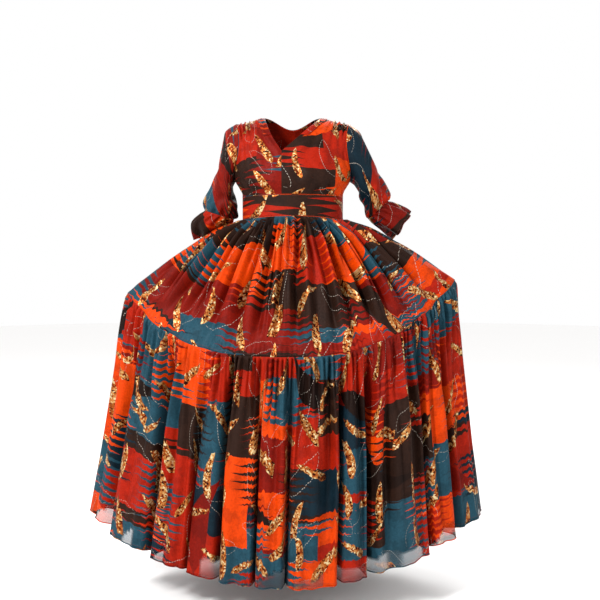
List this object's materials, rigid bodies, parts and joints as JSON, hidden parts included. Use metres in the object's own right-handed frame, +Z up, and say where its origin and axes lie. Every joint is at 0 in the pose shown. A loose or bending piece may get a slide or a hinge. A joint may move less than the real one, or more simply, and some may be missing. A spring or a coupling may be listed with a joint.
{
  "type": "habesha kemis dress",
  "caption": "Floor length habesha kemis dress of printed chiffon, worn and hollow, with V neck, gathered elbow sleeves, midriff band and a two tier skirt held out at the sides.",
  "frame": {"origin": "middle of the shoulder line, between the two neck points, where the wearer's shoulders hold the dress up", "axes": "+Z up, +X to the wearer's left, the wearer faces -Y"},
  "size_m": [1.2109, 0.6065, 1.3543],
  "materials": {
    "printed_chiffon": "soft sheen, printed in orange, red, teal and brown with gold foil"
  },
  "bodies": {
    "root": {"bodice_back": "printed_chiffon", "bodice_front_left": "printed_chiffon", "bodice_front_right": "printed_chiffon", "midriff_band_back": "printed_chiffon", "midriff_band_front": "printed_chiffon", "neckband_back": "printed_chiffon", "neckband_left": "printed_chiffon", "neckband_right": "printed_chiffon", "skirt_lower_back": "printed_chiffon", "skirt_lower_front": "printed_chiffon", "skirt_upper_back": "printed_chiffon", "skirt_upper_front": "printed_chiffon", "sleeve_flounce_left": "printed_chiffon", "sleeve_flounce_right": "printed_chiffon", "sleeve_left": "printed_chiffon", "sleeve_right": "printed_chiffon"}
  },
  "joints": []
}
